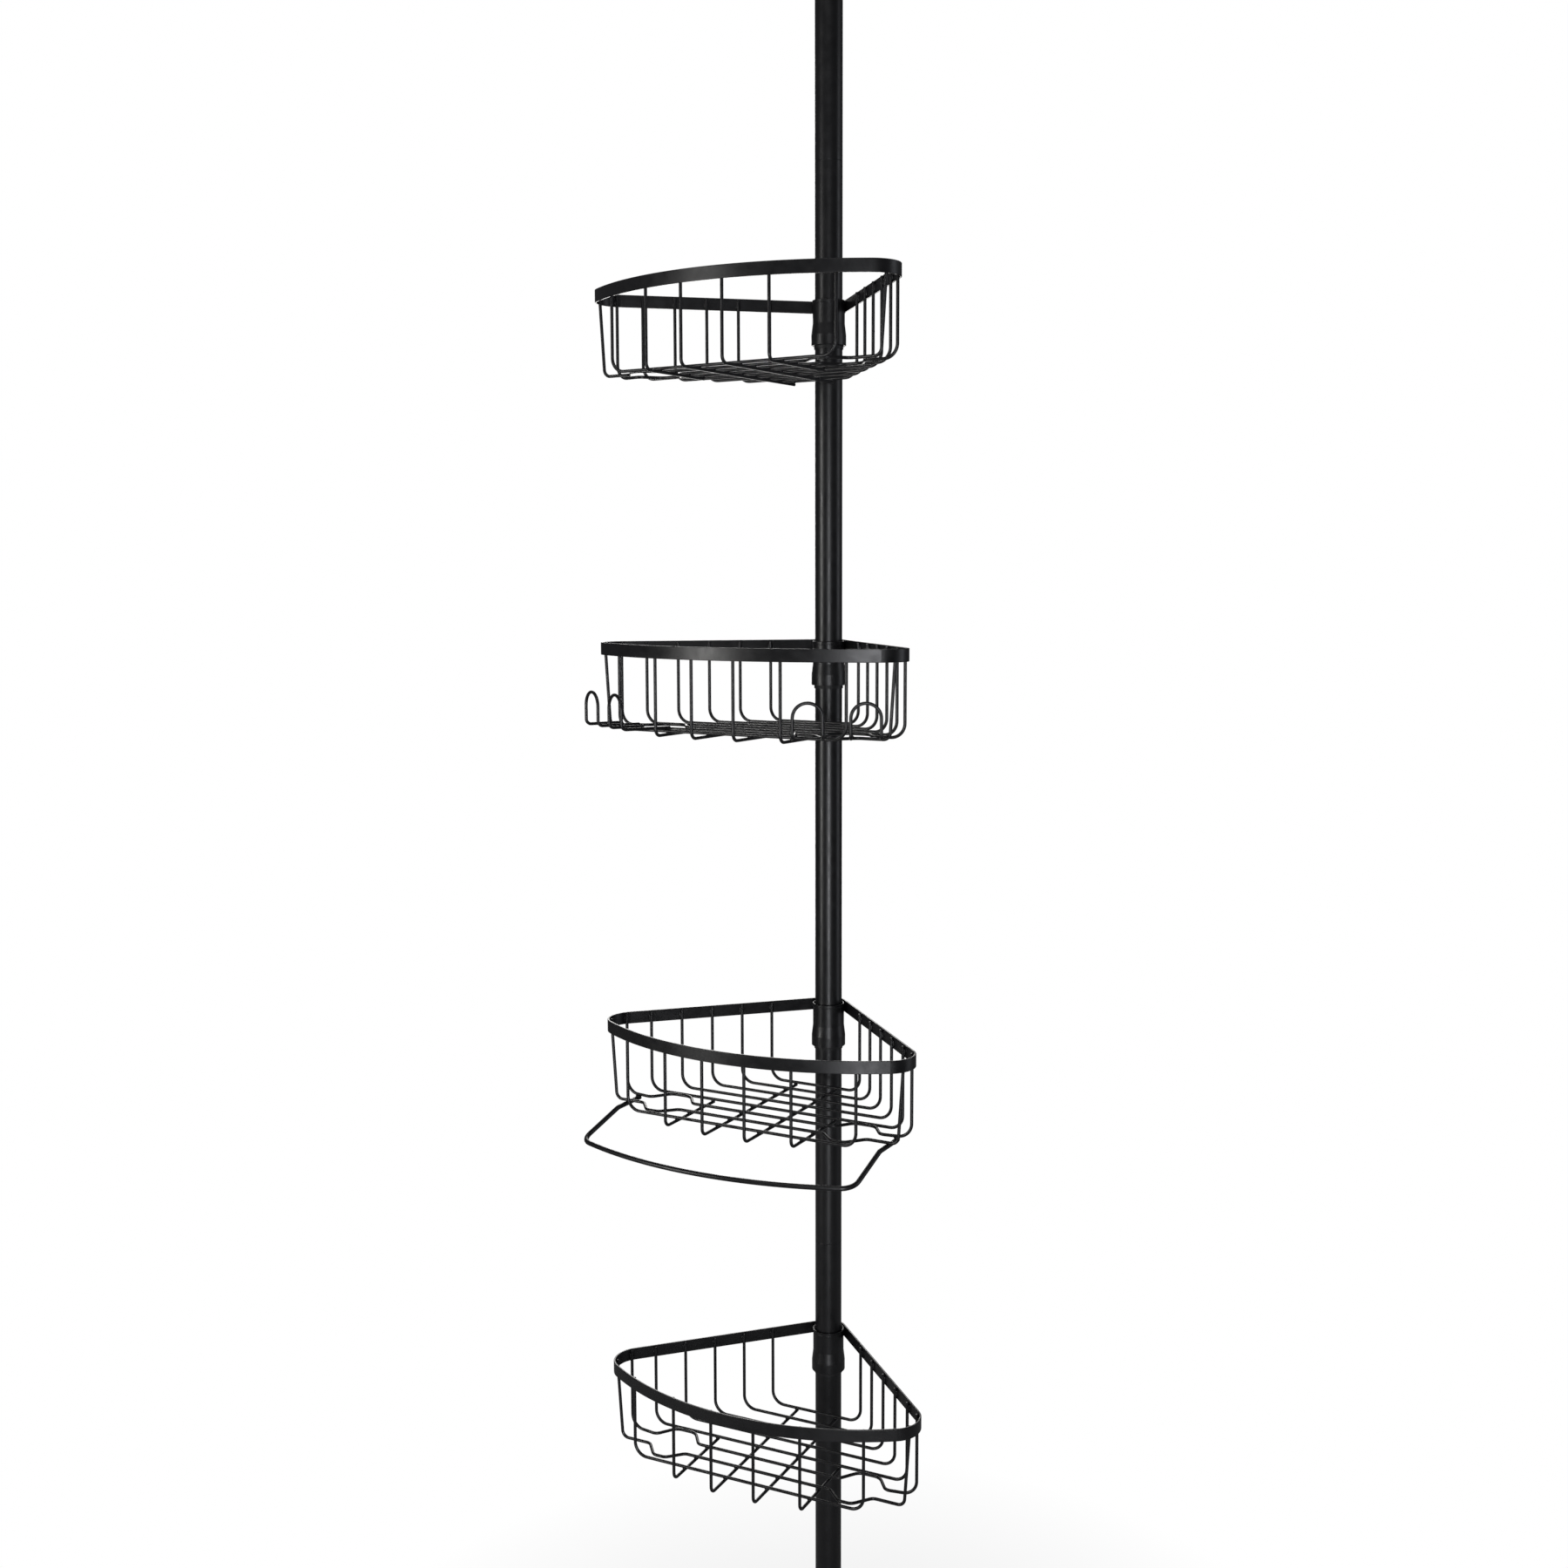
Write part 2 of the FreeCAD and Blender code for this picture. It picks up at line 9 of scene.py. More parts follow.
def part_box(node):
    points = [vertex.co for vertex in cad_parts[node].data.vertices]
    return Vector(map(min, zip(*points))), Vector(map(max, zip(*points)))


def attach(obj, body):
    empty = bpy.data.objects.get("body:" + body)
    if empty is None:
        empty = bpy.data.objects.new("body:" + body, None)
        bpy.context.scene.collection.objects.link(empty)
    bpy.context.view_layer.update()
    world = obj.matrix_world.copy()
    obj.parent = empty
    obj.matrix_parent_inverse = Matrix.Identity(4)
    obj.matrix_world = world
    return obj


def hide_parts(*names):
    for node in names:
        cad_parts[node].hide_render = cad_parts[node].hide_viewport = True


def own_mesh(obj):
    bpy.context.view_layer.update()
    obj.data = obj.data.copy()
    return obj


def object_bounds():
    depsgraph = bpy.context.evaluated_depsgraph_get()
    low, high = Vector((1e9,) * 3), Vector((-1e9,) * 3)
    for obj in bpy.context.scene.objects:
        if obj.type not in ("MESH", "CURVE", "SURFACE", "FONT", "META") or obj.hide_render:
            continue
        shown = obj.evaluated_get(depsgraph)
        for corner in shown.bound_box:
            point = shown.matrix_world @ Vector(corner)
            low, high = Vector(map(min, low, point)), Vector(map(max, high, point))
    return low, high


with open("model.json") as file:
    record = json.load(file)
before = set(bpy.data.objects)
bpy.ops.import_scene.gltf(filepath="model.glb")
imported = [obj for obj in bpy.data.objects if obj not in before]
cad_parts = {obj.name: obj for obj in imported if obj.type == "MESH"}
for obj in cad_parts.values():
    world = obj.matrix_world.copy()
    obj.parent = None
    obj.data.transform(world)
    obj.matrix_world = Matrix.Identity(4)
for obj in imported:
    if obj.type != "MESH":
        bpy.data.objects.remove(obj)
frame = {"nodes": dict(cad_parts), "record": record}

# Finishes and small detail of a four-tier shower caddy on a tension pole: welds, rounded wire ends,
# rolled edges and grip ribs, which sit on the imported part. The pieces are built in millimetres.
CAD_BOX = [list(corner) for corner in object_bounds()]
MM = 0.001
UP = Vector((0, 0, 1))

# ---- camera; lengths in metres ----
CAMERA_HEIGHT = 1.1388
CAMERA_DISTANCE = 1.6107      # level distance from the camera to the pole's axis
CAMERA_TURN = 28.81           # degrees from straight ahead towards +X
CAMERA_PITCH = 6.02           # degrees down
CAMERA_ASIDE = 0.0053         # how far the pole stands right of the camera's middle
CAMERA_LENS = 39.99
CAMERA_SENSOR = 36
CAMERA_SHIFT_X = -0.0248
CAMERA_SHIFT_Y = -0.0157

# ---- studio; lengths in metres ----
# Each softbox: name, degrees from the front towards +X, distance, height, (width, height), power, colour.
SOFTBOXES = (
    ("softbox_left", -34, 2.6, 1.05, (0.42, 1.4), 20, (1.0, 0.99, 0.97)),
    ("softbox_front", 31, 2.6, 0.62, (0.42, 1.3), 24, (0.95, 0.96, 1.0)),
    ("softbox_side", 118, 2.4, 1.2, (1.0, 2.2), 7, (0.90, 0.93, 1.0)),
    ("softbox_back", 215, 2.8, 1.3, (0.9, 2.2), 30, (1.0, 0.99, 0.97)),
    ("softbox_top", 10, 1.6, 3.2, (1.4, 0.8), 9, (1, 1, 1)),
)
ROOM_LIGHT = (0.085, 0.085, 0.09)
FLOOR_SIZE = 80.0
FLOOR_COLOUR = 0.35
FLOOR_ROUGHNESS = 0.9
FLOOR_NEAR = 0.10             # the foot's shadow shows inside this distance from the pole
FLOOR_FAR = 0.55              # beyond this one the floor is as white as the backdrop
FLOOR_NEAR_GLOW = 0.80

# ---- finishes: most values of a noise lie between these two ----
NOISE_LOW = 0.3
NOISE_HIGH = 0.7

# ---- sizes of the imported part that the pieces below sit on, in millimetres ----
RIM_TOP = (1387.4, 1080.0, 739.8, 420.0)    # height of each basket's rim, top one first
BASKET_YAW = (-3.5, -1.1, 1.3, 3.3)         # turn of each basket about the pole, degrees
POLE_R = 12.5
PLUNGER_R = 10.7
TUBE_LENGTH = 500.0
TUBE_COUNT = 4
SPIGOT_RIB = 0.8
FOOT_SOLE = 6.0
FOOT_COLLAR_WALL = 3.0
SIDE = math.radians(45)          # each side wall's angle from straight ahead
SIDE_LENGTH = 216.0
FRONT_BULGE = 58.3               # how far the curved front stands ahead of its corners
CORNER_R = 25.0
BAND_HEIGHT = 11.0
BAND_WALL = 1.8
WIRE_R = 1.4
WIRE_TOP = 1.5                   # from the rim's top down to the wires' upper ends
BASKET_DEPTH = 74.3              # from the rim's top to the axis of the floor's cross wires
CROSS_COUNT = 8
CROSS_BACK = 27.0                # from the pole's axis forward to the last cross wire
CROSS_FRONT_MARGIN = 29.4        # from the rim's foremost point back to the first cross wire
FRONT_WIRE_PITCH = 41.4
# Each front wire: its place in pitches from the middle, and how many cross wires it passes under.
FRONT_WIRES = ((0.5, CROSS_COUNT), (1.5, 4))
WELD_TAIL = 1.5                  # how far a wire runs on past the wire it is welded to
LOOP_END_SHIFT = 3.0             # how far behind its place the front loop wire's legs stand
LOOP_BACK_END_SHIFT = 4.0        # the same for the back loop wire
SLEEVE_LIP_R = 15.0
SLEEVE_TOP_DROP = 1.6
SLEEVE_LIP_HEIGHT = 2.2
SPRING_SEAT = 1866.2             # height of the spring's lower end
SPRING_LENGTH = 110.0
SPRING_TURNS = 14
SPRING_R = 10.1                  # to the middle of the wire
SPRING_WIRE_R = 1.0
SPRING_STEPS = 32                # in one turn
SPRING_SIDES = 10

# ---- welds ----
SPOT_SIZE = (1.95, 1.95, 0.95)    # half sizes of a spot where two wires cross
ROD_WELD_SIZE = (2.2, 1.9, 0.95)  # across, along and above the rod
LUMP_SWELL = 0.12                 # unevenness, as a share of the size
LUMP_GRAIN = 1.7
LUMP_PLACE = (2.3, 5.1)           # where in the noise a nugget's unevenness is taken from
BEAD_RIPPLE = 0.10                # unevenness, as a share of the bead's radius
BEAD_RIPPLE_STEP = 0.9
BEAD_RIPPLE_PLACE = 0.5
BEAD_TAPER = 3                    # the higher, the blunter its two ends
BEAD_TIP = 0.02                   # radius at the very ends, as a share
HOOK_WELD_BACK = 1.5              # from a hook wire's cut end to the middle of its weld
BAR_WELD_BACK = 3.0
RIM_WELD_LENGTH = 6.4
RIM_WELD_R = 0.75
RIM_WELD_ASIDE = 1.45             # from the wire's axis to the weld along its flank
RIM_WELD_GAP = 0.35               # from the wire's outer side in to the weld's middle
RIM_WELD_STEPS = 8
SLEEVE_WELD_R = 0.95
SLEEVE_WELD_FROM = 40             # degrees about the pole
SLEEVE_WELD_TURN = 100            # degrees from its start to its end
SLEEVE_WELD_STEPS = 36
SLEEVE_WELD_STANDOFF = 0.1        # from the sleeve's lip
SLEEVE_WELD_DROP = 0.2            # below the rim band
SEAM_R = 0.35
SEAM_MARGIN = 0.9                 # from each edge of the band
SEAM_STEPS = 14

# ---- rounded ends and edges; an edge is its inset, half width and half height ----
END_DOME = 0.5                    # height of the rounded end of a cut wire
DOME_RINGS = 4
DOME_SIDES = 16
PIN_HEAD = 0.6
LIP_TOP_EDGE = (0.62, 0.60, 0.42)
LIP_LOW_EDGE = (0.25, 0.38, 0.45)
TUBE_EDGE = (0.30, 0.32, 0.26)

# ---- how the cut ends of a node's rods are told from its other faces ----
JOIN_DISTANCE = 1e-6              # in metres, as the node's mesh is
SAME_FACING = 0.99999             # cosine between the directions of two faces in one plane
END_CORNERS = 8                   # fewest corners of a round end
END_UNROUND = 0.1

# ---- grip ribs on the rubber feet ----
COLLAR_RIB = (0.15, 0.55, 0.60)
COLLAR_RIB_COUNT = 4
COLLAR_RIB_START = 3.2            # from the collar's edge to the first rib
COLLAR_RIB_PITCH = 2.6
SOLE_RIB_COUNT = 48
SOLE_RIB_R = 0.45
SOLE_RIB_INSET = 0.10
SOLE_RIB_START = 1.6              # from the sole's face to the rib
SOLE_RIB_LENGTH = 3.8
SOLE_RIB_STEPS = 6
SOLE_RIB_SIDES = 6

# ---- worked out from the sizes above; u runs to the right and v to the back, from the pole's axis ----
band_back_r = SLEEVE_LIP_R + BAND_WALL
wire_inset = BAND_WALL + WIRE_R
corner_u = band_back_r * math.cos(SIDE) + SIDE_LENGTH * math.sin(SIDE)
corner_v = band_back_r * math.sin(SIDE) - SIDE_LENGTH * math.cos(SIDE)
front_r = (corner_u ** 2 + FRONT_BULGE ** 2) / (2 * FRONT_BULGE)
front_v = corner_v - FRONT_BULGE
front_centre = Vector((0, front_v + front_r, 0))
cross_pitch = (-front_v - CROSS_FRONT_MARGIN - CROSS_BACK) / (CROSS_COUNT - 1)
cross_v = [front_v + CROSS_FRONT_MARGIN + i * cross_pitch for i in range(CROSS_COUNT)]


# ---- camera and studio ----

def make_camera():
    turn = math.radians(CAMERA_TURN)
    back = Vector((math.sin(turn), -math.cos(turn), 0))
    right = Vector((math.cos(turn), math.sin(turn), 0))
    data = bpy.data.cameras.new("camera")
    data.lens = CAMERA_LENS
    data.sensor_width = CAMERA_SENSOR
    data.shift_x = CAMERA_SHIFT_X
    data.shift_y = CAMERA_SHIFT_Y
    camera = bpy.data.objects.new("camera", data)
    camera.location = back * CAMERA_DISTANCE - right * CAMERA_ASIDE + UP * CAMERA_HEIGHT
    camera.rotation_euler = (math.radians(90 - CAMERA_PITCH), 0, turn)
    bpy.context.scene.collection.objects.link(camera)
    bpy.context.scene.camera = camera


def add_softbox(name, azimuth, distance, height, size, power, colour):
    """A soft light that stands round the object and faces the pole."""
    turn = math.radians(azimuth)
    place = Vector((math.sin(turn) * distance, -math.cos(turn) * distance, height))
    data = bpy.data.lights.new(name, "AREA")
    data.shape = "RECTANGLE"
    data.size, data.size_y = size
    data.energy = power
    data.color = colour
    light = bpy.data.objects.new(name, data)
    light.location = place
    aim = Vector((0, 0, min(height, CAD_BOX[1][2])))
    light.rotation_euler = (aim - place).to_track_quat("-Z", "Y").to_euler()
    light.visible_camera = False
    bpy.context.scene.collection.objects.link(light)


def make_lights():
    """Tall softboxes in a dim room whose backdrop is white to the camera."""
    world = bpy.data.worlds.new("studio")
    world.use_nodes = True
    nodes, links = world.node_tree.nodes, world.node_tree.links
    rays = nodes.new("ShaderNodeLightPath")
    mix = nodes.new("ShaderNodeMix")
    mix.data_type = "RGBA"
    mix.inputs["A"].default_value = (*ROOM_LIGHT, 1)
    mix.inputs["B"].default_value = (1, 1, 1, 1)
    links.new(rays.outputs["Is Camera Ray"], mix.inputs["Factor"])
    links.new(mix.outputs["Result"], nodes["Background"].inputs["Color"])
    bpy.context.scene.world = world
    for softbox in SOFTBOXES:
        add_softbox(*softbox)


def floor_material():
    """Matt and shadowed near the foot, and as white to the camera as the backdrop further out."""
    material = bpy.data.materials.new("floor_white")
    material.use_nodes = True
    nodes, links = material.node_tree.nodes, material.node_tree.links
    shader = nodes["Principled BSDF"]
    shader.inputs["Base Color"].default_value = (FLOOR_COLOUR, FLOOR_COLOUR, FLOOR_COLOUR, 1)
    shader.inputs["Roughness"].default_value = FLOOR_ROUGHNESS
    glow = nodes.new("ShaderNodeEmission")
    place = nodes.new("ShaderNodeTexCoord")
    distance = nodes.new("ShaderNodeVectorMath")
    distance.operation = "LENGTH"
    links.new(place.outputs["Object"], distance.inputs[0])
    spread = nodes.new("ShaderNodeMapRange")
    spread.inputs["From Min"].default_value = FLOOR_NEAR
    spread.inputs["From Max"].default_value = FLOOR_FAR
    spread.inputs["To Min"].default_value = FLOOR_NEAR_GLOW
    links.new(distance.outputs["Value"], spread.inputs["Value"])
    rays = nodes.new("ShaderNodeLightPath")
    share = nodes.new("ShaderNodeMath")
    share.operation = "MULTIPLY"
    links.new(rays.outputs["Is Camera Ray"], share.inputs[0])
    links.new(spread.outputs["Result"], share.inputs[1])
    mix = nodes.new("ShaderNodeMixShader")
    links.new(share.outputs[0], mix.inputs[0])
    links.new(shader.outputs[0], mix.inputs[1])
    links.new(glow.outputs[0], mix.inputs[2])
    links.new(mix.outputs[0], nodes["Material Output"].inputs["Surface"])
    return material


def make_floor():
    """A floor far wider than the view, under the foot."""
    mesh = bpy.data.meshes.new("floor")
    half = FLOOR_SIZE / 2
    corners = [(-half, -half, 0), (half, -half, 0), (half, half, 0), (-half, half, 0)]
    mesh.from_pydata(corners, [], [(0, 1, 2, 3)])
    mesh.materials.append(floor_material())
    floor = bpy.data.objects.new("floor", mesh)
    bpy.context.scene.collection.objects.link(floor)


# ---- materials, one for each of the record's slots ----

class Finish:
    """A material under construction: object coordinates, noises, and a chain of bumps."""

    def __init__(self, name):
        self.material = bpy.data.materials.new(name)
        self.material.use_nodes = True
        self.nodes = self.material.node_tree.nodes
        self.links = self.material.node_tree.links
        self.shader = self.nodes["Principled BSDF"]
        self.place = self.nodes.new("ShaderNodeTexCoord").outputs["Object"]
        self.normal = None

    def noise(self, grain, detail=2.0, stretch=(1, 1, 1)):
        """Noise whose lumps are about grain millimetres across."""
        mapping = self.nodes.new("ShaderNodeMapping")
        mapping.inputs["Scale"].default_value = stretch
        texture = self.nodes.new("ShaderNodeTexNoise")
        texture.inputs["Scale"].default_value = 1 / (grain * MM)
        texture.inputs["Detail"].default_value = detail
        self.links.new(self.place, mapping.inputs["Vector"])
        self.links.new(mapping.outputs["Vector"], texture.inputs["Vector"])
        return texture.outputs["Fac"]

    def cells(self, grain):
        """Rounded cells about grain millimetres across."""
        texture = self.nodes.new("ShaderNodeTexVoronoi")
        texture.feature = "SMOOTH_F1"
        texture.inputs["Scale"].default_value = 1 / (grain * MM)
        self.links.new(self.place, texture.inputs["Vector"])
        return texture.outputs["Distance"]

    def spread(self, value, low, high):
        """Turns a noise into a number from low to high."""
        node = self.nodes.new("ShaderNodeMapRange")
        node.inputs["From Min"].default_value = NOISE_LOW
        node.inputs["From Max"].default_value = NOISE_HIGH
        node.inputs["To Min"].default_value = low
        node.inputs["To Max"].default_value = high
        self.links.new(value, node.inputs["Value"])
        return node.outputs["Result"]

    def colour(self, value, dark, light):
        mix = self.nodes.new("ShaderNodeMix")
        mix.data_type = "RGBA"
        mix.inputs["A"].default_value = (*dark, 1)
        mix.inputs["B"].default_value = (*light, 1)
        self.links.new(self.spread(value, 0, 1), mix.inputs["Factor"])
        self.links.new(mix.outputs["Result"], self.shader.inputs["Base Color"])

    def roughness(self, value, low, high):
        self.links.new(self.spread(value, low, high), self.shader.inputs["Roughness"])

    def bump(self, value, height, strength):
        """Adds a bump of that height in millimetres to those already there."""
        node = self.nodes.new("ShaderNodeBump")
        node.inputs["Distance"].default_value = height * MM
        node.inputs["Strength"].default_value = strength
        self.links.new(value, node.inputs["Height"])
        if self.normal:
            self.links.new(self.normal, node.inputs["Normal"])
        self.normal = node.outputs["Normal"]
        self.links.new(self.normal, self.shader.inputs["Normal"])


def powder_coat():
    """Satin black powder coat: orange peel, fine grit, and patches where it cured duller."""
    coat = Finish("black_coating")
    patches = coat.noise(26, 3)
    coat.colour(patches, (0.0042, 0.0042, 0.0048), (0.0070, 0.0070, 0.0078))
    coat.roughness(coat.noise(9, 4), 0.29, 0.40)
    coat.bump(coat.noise(2.2), 0.03, 0.18)
    coat.bump(coat.noise(0.6, 2), 0.006, 0.15)
    return coat.material


def moulded_plastic():
    """Matte black plastic from a spark-eroded mould."""
    plastic = Finish("black_plastic")
    plastic.colour(plastic.noise(14, 2), (0.0050, 0.0050, 0.0054), (0.0085, 0.0085, 0.0090))
    plastic.roughness(plastic.noise(5, 3), 0.46, 0.60)
    plastic.bump(plastic.cells(0.45), 0.03, 0.40)
    plastic.bump(plastic.noise(2.5), 0.03, 0.20)
    return plastic.material


def foot_rubber():
    """Soft black rubber, dull, with a bloom of pale dust in patches that fall at random."""
    rubber = Finish("black_rubber")
    rubber.colour(rubber.noise(7, 5), (0.010, 0.010, 0.010), (0.024, 0.023, 0.022))
    rubber.roughness(rubber.noise(3, 4), 0.68, 0.88)
    rubber.bump(rubber.noise(0.8, 3), 0.06, 0.45)
    rubber.shader.inputs["Sheen Weight"].default_value = 0.12
    return rubber.material


def drawn_steel():
    """Bare drawn wire with fine lines and slightly duller patches."""
    steel = Finish("bare_steel")
    steel.colour(steel.noise(5, 3), (0.42, 0.42, 0.43), (0.60, 0.60, 0.61))
    steel.roughness(steel.noise(1.2, 4, (1, 1, 6)), 0.24, 0.42)
    steel.bump(steel.noise(0.25, 2, (1, 1, 8)), 0.01, 0.35)
    steel.shader.inputs["Metallic"].default_value = 1.0
    return steel.material


finishes = {
    "black_coating": powder_coat(),
    "black_plastic": moulded_plastic(),
    "black_rubber": foot_rubber(),
    "bare_steel": drawn_steel(),
}


# ---- places on a basket, about the pole's axis with the rim top at height 0 ----

def wall_point(v):
    """Place and inward direction of a wire that stands inside the right-hand wall at depth v."""
    out = Vector((math.cos(SIDE), math.sin(SIDE), 0))
    ahead = Vector((math.sin(SIDE), -math.cos(SIDE), 0))
    base = out * (band_back_r - CORNER_R) - front_centre
    reach = front_r - CORNER_R
    along = -base.dot(ahead) + math.sqrt(base.dot(ahead) ** 2 - base.dot(base) + reach ** 2)
    centre = out * (band_back_r - CORNER_R) + ahead * along
    corner_r = CORNER_R - wire_inset
    to_corner = (centre - front_centre).normalized()
    if v >= centre.y + corner_r * out.y:
        return Vector((((band_back_r - wire_inset) - v * out.y) / out.x, v, 0)), -out
    if v > centre.y + corner_r * to_corner.y:
        point = Vector((centre.x + math.sqrt(corner_r ** 2 - (v - centre.y) ** 2), v, 0))
        return point, (centre - point).normalized()
    u = math.sqrt((front_r - wire_inset) ** 2 - (v - front_centre.y) ** 2)
    point = Vector((u, v, 0))
    return point, (front_centre - point).normalized()


def front_point(u):
    """Place and inward direction of a wire that stands inside the curved front at u."""
    point = Vector((u, front_centre.y - math.sqrt((front_r - wire_inset) ** 2 - u ** 2), 0))
    return point, (front_centre - point).normalized()


def leg_depths():
    """Depth of each cross wire's legs, front one first."""
    legs = list(cross_v)
    legs[1] += LOOP_END_SHIFT
    legs[2] += LOOP_BACK_END_SHIFT
    return legs


def rim_wires():
    """Place and inward direction of every wire end under the rim, both halves."""
    right = [wall_point(v) for v in leg_depths()]
    right += [front_point(place * FRONT_WIRE_PITCH) for place, _ in FRONT_WIRES]
    left = [(Vector((-p.x, p.y, 0)), Vector((-n.x, n.y, 0))) for p, n in right]
    return right + left


def floor_crossings():
    """Where a front wire passes under a cross wire that runs straight there."""
    spots = []
    for place, passed in FRONT_WIRES:
        u = place * FRONT_WIRE_PITCH
        spots += [Vector((s * u, v, -BASKET_DEPTH - WIRE_R)) for v in cross_v[:passed] for s in (-1, 1)]
    return spots


# ---- mesh pieces ----

def lump(bm, centre, axes, seed):
    """A small irregular weld nugget with the given half axes."""
    offset = Vector((seed, *LUMP_PLACE))
    for vert in bmesh.ops.create_icosphere(bm, subdivisions=2, radius=1)["verts"]:
        p = vert.co.copy()
        swell = 1 + LUMP_SWELL * noise.noise(p * LUMP_GRAIN + offset)
        vert.co = centre + sum((axis * c for axis, c in zip(axes, p * swell)), Vector())


def ring_of(bm, centre, across, other, radius, count):
    """New vertices round centre, in the plane of the directions across and other."""
    turns = [2 * math.pi * k / count for k in range(count)]
    return [bm.verts.new(centre + (across * math.cos(a) + other * math.sin(a)) * radius) for a in turns]


def join_rings(bm, rings):
    """The walls between each ring of vertices and the next."""
    count = len(rings[0])
    for here, there in zip(rings, rings[1:]):
        for k in range(count):
            after = (k + 1) % count
            bm.faces.new((here[k], here[after], there[after], there[k]))


def bead(bm, path, radius, seed, side_count=8):
    """A weld bead along a path of points: rippled along its length and tapered at its ends."""
    rings = []
    last = len(path) - 1
    for i, point in enumerate(path):
        way = (path[min(i + 1, last)] - path[max(i - 1, 0)]).normalized()
        across = way.orthogonal().normalized()
        taper = math.sqrt(max(0.0, 1 - abs(2 * i / last - 1) ** BEAD_TAPER))
        place = Vector((i * BEAD_RIPPLE_STEP, seed, BEAD_RIPPLE_PLACE))
        ripple = 1 + BEAD_RIPPLE * noise.noise(place)
        r = radius * max(taper * ripple, BEAD_TIP)
        rings.append(ring_of(bm, point, across, way.cross(across), r, side_count))
    join_rings(bm, rings)
    bm.faces.new(rings[0][::-1])
    bm.faces.new(rings[-1])


def dome(bm, centre, way, radius, height):
    """The rounded end of a cut wire, on a cut that faces way."""
    across = way.orthogonal().normalized()
    rings = []
    for step in range(DOME_RINGS):
        rise = math.radians(step * 90 / DOME_RINGS)
        middle = centre + way * height * math.sin(rise)
        rings.append(ring_of(bm, middle, across, way.cross(across), radius * math.cos(rise), DOME_SIDES))
    join_rings(bm, rings)
    tip = bm.verts.new(centre + way * height)
    for k in range(DOME_SIDES):
        bm.faces.new((rings[-1][k], rings[-1][(k + 1) % DOME_SIDES], tip))
    bm.faces.new(rings[0][::-1])


def turned(bm, profile, segments=64):
    """A closed profile of (radius, height) corners, turned about the pole's axis."""
    rings = []
    for k in range(segments):
        a = 2 * math.pi * k / segments
        rings.append([bm.verts.new((r * math.cos(a), r * math.sin(a), z)) for r, z in profile])
    count = len(profile)
    for k in range(segments):
        here, there = rings[k], rings[(k + 1) % segments]
        for i in range(count):
            bm.faces.new((here[i], there[i], there[(i + 1) % count], here[(i + 1) % count]))


def round_edge(bm, outer_r, height, edge, corners=10):
    """A ring of oval section about the pole's axis; edge is its inset, half width and half height."""
    inset, half_width, half_height = edge
    turns = [2 * math.pi * k / corners for k in range(corners)]
    radius = outer_r - inset
    turned(bm, [(radius + half_width * math.cos(a), height + half_height * math.sin(a)) for a in turns])


def add_piece(name, bm, body, slot, yaw=0, height=0):
    """Turns the built mesh, in millimetres, into a piece that rides on a body."""
    bmesh.ops.recalc_face_normals(bm, faces=bm.faces)
    lift = Matrix.Translation((0, 0, height * MM))
    bm.transform(lift @ Matrix.Rotation(math.radians(yaw), 4, "Z") @ Matrix.Scale(MM, 4))
    mesh = bpy.data.meshes.new(name)
    bm.to_mesh(mesh)
    bm.free()
    mesh.polygons.foreach_set("use_smooth", [True] * len(mesh.polygons))
    mesh.materials.append(finishes[slot])
    piece = bpy.data.objects.new(name, mesh)
    bpy.context.scene.collection.objects.link(piece)
    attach(piece, body)
    return piece


def rim_welds():
    """Two short beads, one down each flank of every wire where it lies against the rim."""
    bm = bmesh.new()
    middle = -(WIRE_TOP + BAND_HEIGHT) / 2
    shares = [i / RIM_WELD_STEPS - 0.5 for i in range(RIM_WELD_STEPS + 1)]
    for seed, (point, inward) in enumerate(rim_wires()):
        aside = inward.cross(UP)
        for s in (-1, 1):
            foot = point - inward * (WIRE_R - RIM_WELD_GAP) + aside * (s * RIM_WELD_ASIDE)
            path = [foot + UP * (middle + RIM_WELD_LENGTH * share) for share in shares]
            bead(bm, path, RIM_WELD_R, seed * 2 + s)
    return bm


def crossing_welds():
    """A nugget wherever a front wire passes under a cross wire."""
    bm = bmesh.new()
    axes = Matrix.Diagonal(SPOT_SIZE)
    for seed, spot in enumerate(floor_crossings()):
        lump(bm, spot, axes, seed)
    return bm


def wire_ends():
    """Rounded ends on the cut wires: all of them under the rim, and the front wires' far ends."""
    bm = bmesh.new()
    for point, _ in rim_wires():
        dome(bm, point - UP * WIRE_TOP, UP, WIRE_R, END_DOME)
    for place, passed in FRONT_WIRES:
        v = cross_v[passed - 1] + WELD_TAIL
        for s in (-1, 1):
            end = Vector((s * place * FRONT_WIRE_PITCH, v, -BASKET_DEPTH - 2 * WIRE_R))
            dome(bm, end, Vector((0, 1, 0)), WIRE_R, END_DOME)
    return bm


def sleeve_welds():
    """The bead under the rim where it wraps the sleeve, and the rim's own seam at the back."""
    bm = bmesh.new()
    low = UP * (-BAND_HEIGHT - SLEEVE_WELD_DROP)
    path = []
    for i in range(SLEEVE_WELD_STEPS + 1):
        a = math.radians(SLEEVE_WELD_FROM + SLEEVE_WELD_TURN * i / SLEEVE_WELD_STEPS)
        path.append(Vector((math.cos(a), math.sin(a), 0)) * (SLEEVE_LIP_R + SLEEVE_WELD_STANDOFF) + low)
    bead(bm, path, SLEEVE_WELD_R, seed=3)
    back = Vector((0, band_back_r, 0))
    seam = BAND_HEIGHT - 2 * SEAM_MARGIN
    drops = [SEAM_MARGIN + seam * i / SEAM_STEPS for i in range(SEAM_STEPS + 1)]
    bead(bm, [back - UP * drop for drop in drops], SEAM_R, seed=9)
    return bm


